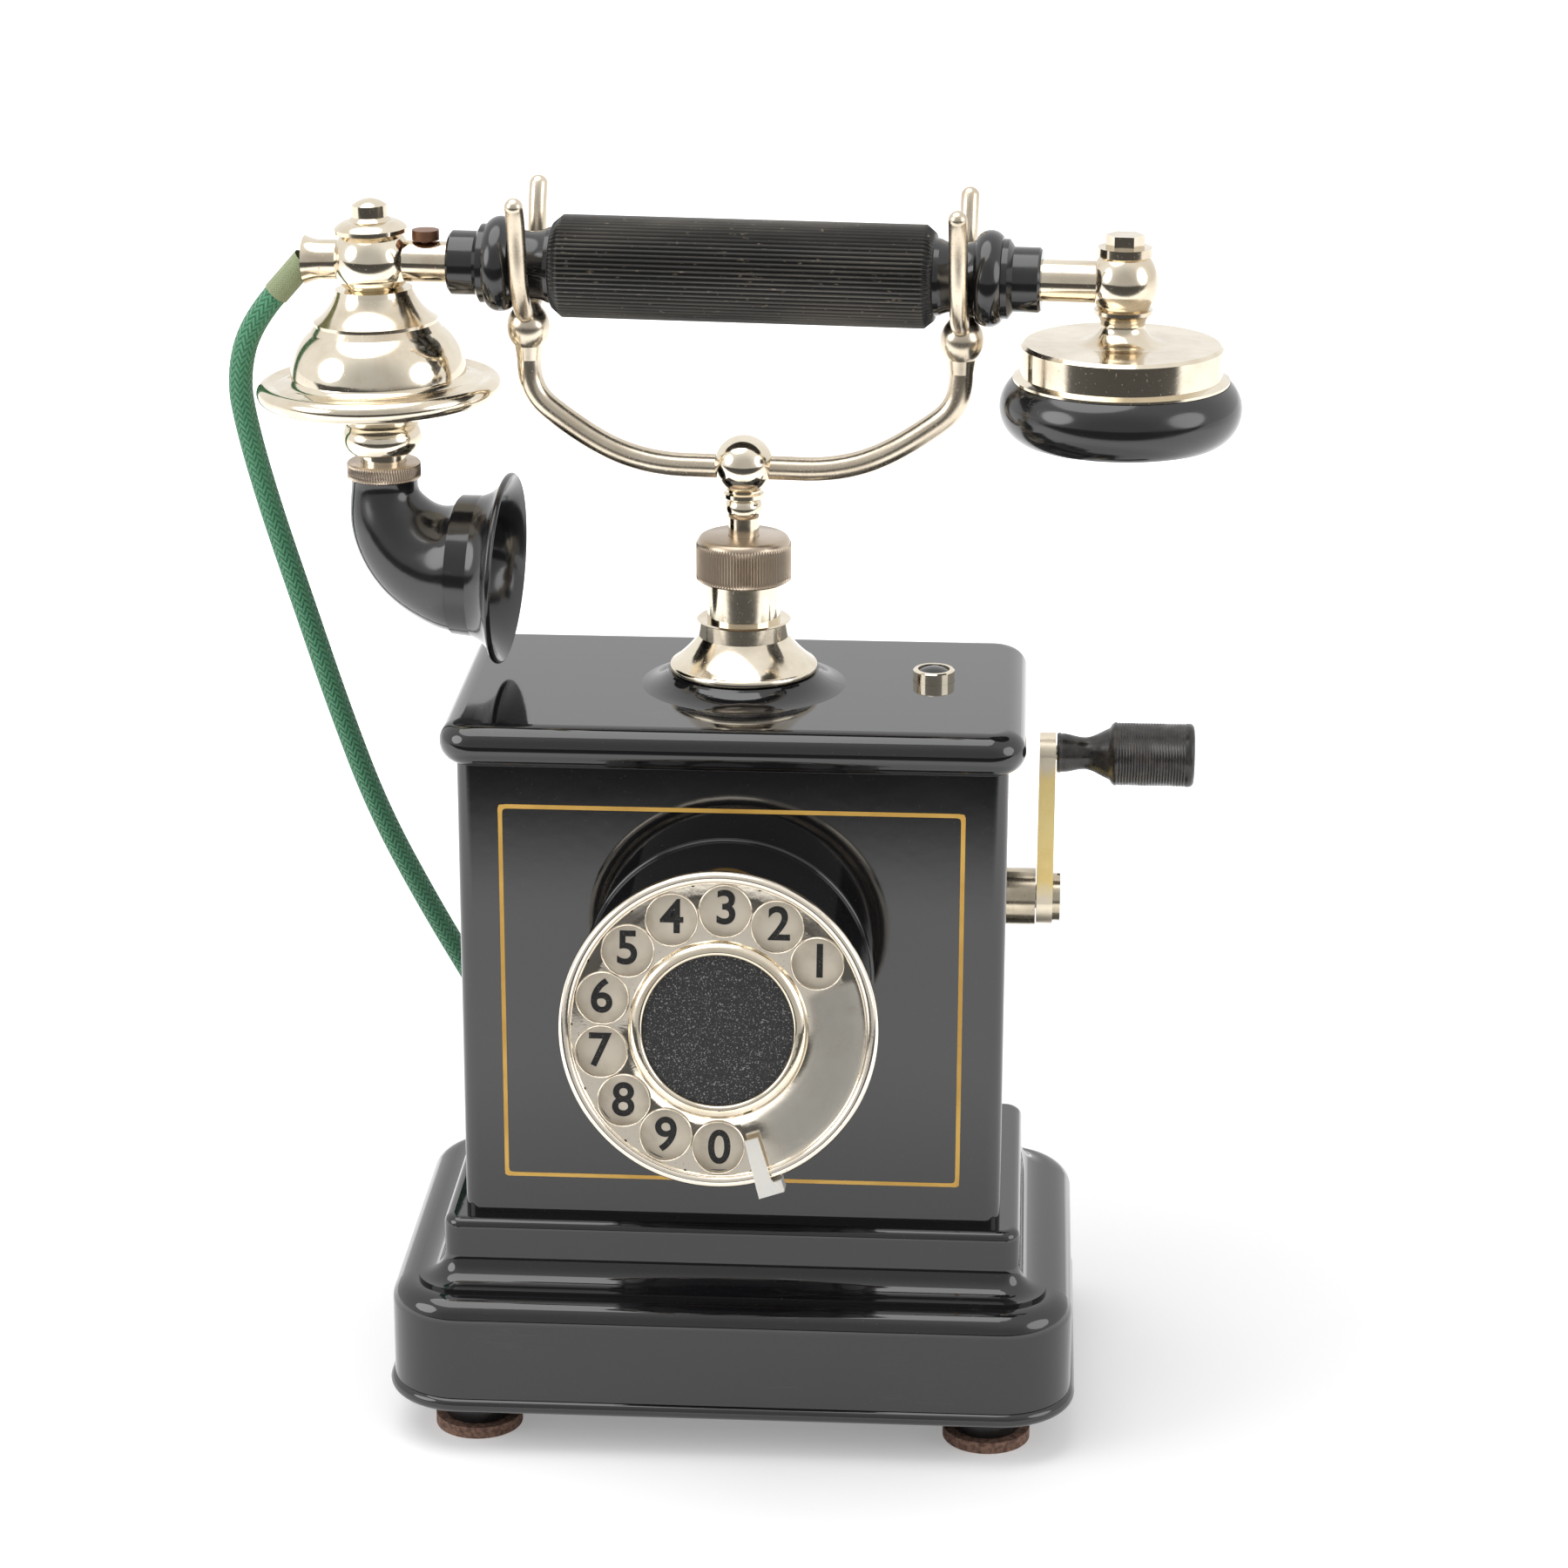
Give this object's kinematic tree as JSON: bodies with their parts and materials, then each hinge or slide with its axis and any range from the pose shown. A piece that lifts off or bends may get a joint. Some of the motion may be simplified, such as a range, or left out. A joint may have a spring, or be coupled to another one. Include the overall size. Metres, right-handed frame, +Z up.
{
  "type": "magneto rotary telephone",
  "caption": "Black metal table telephone with rotary dial, side crank, raised cradle, and a handset with a curved mouthpiece horn.",
  "frame": {"origin": "centre of the footprint, on the table", "axes": "+X to the crank side, +Y to the back, +Z up; the dial faces -Y"},
  "size_m": [0.2488, 0.2873, 0.3092],
  "materials": {
    "black_lacquer": "gloss",
    "nickel": "polished, aged",
    "knurled_nickel": "knurled, aged",
    "worn_brass": "worn",
    "black_horn": "polished",
    "ribbed_grip": "ribbed, worn",
    "knob_composition": "ribbed",
    "green_braid": "braided",
    "cord_sleeve": "woven",
    "cream_enamel": "satin",
    "black_card": "matt",
    "brown_leather": "matt",
    "japanned_iron": "satin",
    "brown_screw": "oxidised",
    "steel": "machined",
    "magnet_steel": "painted",
    "bell_metal": "polished",
    "wound_coil": "wound",
    "capacitor_can": "satin"
  },
  "bodies": {
    "case": {"foot_pads": "brown_leather", "feet": "japanned_iron", "base_plate": "black_lacquer", "cord_grommet": "japanned_iron", "line_inlet": "japanned_iron", "plinth": "black_lacquer", "body_shell": "black_lacquer", "top_cover": "black_lacquer", "column": "nickel", "column_nut": "knurled_nickel", "hook_switch": "steel", "dial_cup": "black_lacquer", "dial_works": "steel", "number_plate": "cream_enamel", "finger_stop": "nickel", "magneto_frame": "steel", "magneto_magnets": "magnet_steel", "crank_bushing": "worn_brass", "button_ring": "nickel", "gongs": "bell_metal", "ringer_frame": "steel", "ringer_coils": "wound_coil", "induction_coil": "wound_coil", "capacitor": "capacitor_can"},
    "cradle": {"cradle_stem": "nickel", "cradle_arms": "nickel", "fork_left": "nickel", "fork_right": "nickel", "cradle_spring": "steel"},
    "hook_lever": {"hook_lever": "steel"},
    "handset": {"handle_grip": "ribbed_grip", "handle_caps": "black_horn", "handle_tube": "nickel", "mouth_clamp": "nickel", "finial": "nickel", "tube_screw": "brown_screw", "mouth_bell": "nickel", "mouth_capsule": "steel", "ear_clamp": "nickel", "ear_nut": "nickel", "ear_cup": "nickel", "ear_works": "steel", "ear_cap": "black_horn", "cord_binding": "cord_sleeve", "handset_cord": "green_braid"},
    "horn": {"horn_ring": "knurled_nickel", "mouth_horn": "black_horn"},
    "dial": {"finger_wheel": "nickel", "centre_ring": "nickel", "centre_card": "black_card", "dial_shaft": "steel"},
    "crank": {"crank_arm": "worn_brass", "crank_screw": "worn_brass", "crank_shaft": "steel", "crank_gear": "steel"},
    "crank_knob": {"crank_knob": "knob_composition"},
    "armature": {"armature": "steel"},
    "call_button": {"call_button": "black_horn"},
    "clapper": {"clapper": "steel"}
  },
  "joints": [
    {"name": "handset_lift", "type": "slide", "parent": "case", "child": "handset", "axis": [0, 0, 1], "range_m": [0, 0.06]},
    {"name": "cradle_rise", "type": "slide", "parent": "case", "child": "cradle", "axis": [0, 0, 1], "range_m": [0, 0.005], "deforming": ["cradle_spring"]},
    {"name": "hook_swing", "type": "hinge", "parent": "case", "child": "hook_lever", "pos_m": [-0.018, 0, 0.1414], "axis": [0, -1, 0], "range_deg": [0, 9]},
    {"name": "horn_swivel", "type": "hinge", "parent": "handset", "child": "horn", "pos_m": [-0.09042, 0.00716, 0.2902], "axis": [-0.0278, 0.0022, 0.9996], "range_deg": [-90, 90]},
    {"name": "dial_turn", "type": "hinge", "parent": "case", "child": "dial", "pos_m": [-0.0006, -0.0737, 0.1234], "axis": [0, 0.9803, -0.1977], "range_deg": [0, 329], "stiffness_Nm_per_rad": 0.02, "springref_deg": -28.65},
    {"name": "crank_turn", "type": "hinge", "parent": "case", "child": "crank", "pos_m": [0.074, 0, 0.132], "axis": [1, 0, 0], "continuous": true},
    {"name": "knob_spin", "type": "hinge", "parent": "crank", "child": "crank_knob", "pos_m": [0.09, 0, 0.1701], "axis": [1, 0, 0], "continuous": true},
    {"name": "armature_spin", "type": "hinge", "parent": "case", "child": "armature", "pos_m": [0, 0, 0.096], "axis": [1, 0, 0], "continuous": true},
    {"name": "button_press", "type": "slide", "parent": "case", "child": "call_button", "axis": [0, 0, -1], "range_m": [0, 0.0015], "stiffness_N_per_m": 800, "springref_m": -0.001},
    {"name": "clapper_swing", "type": "hinge", "parent": "case", "child": "clapper", "pos_m": [0, 0.0065, 0.0256], "axis": [0, 0, 1], "range_deg": [-3, 3]}
  ],
  "couplings": [
    {"joint": "cradle_rise", "follows": "handset_lift", "ratio": 0.083333},
    {"joint": "hook_swing", "follows": "handset_lift", "rad_per_m": 2.6179},
    {"joint": "armature_spin", "follows": "crank_turn", "ratio": -3}
  ]
}
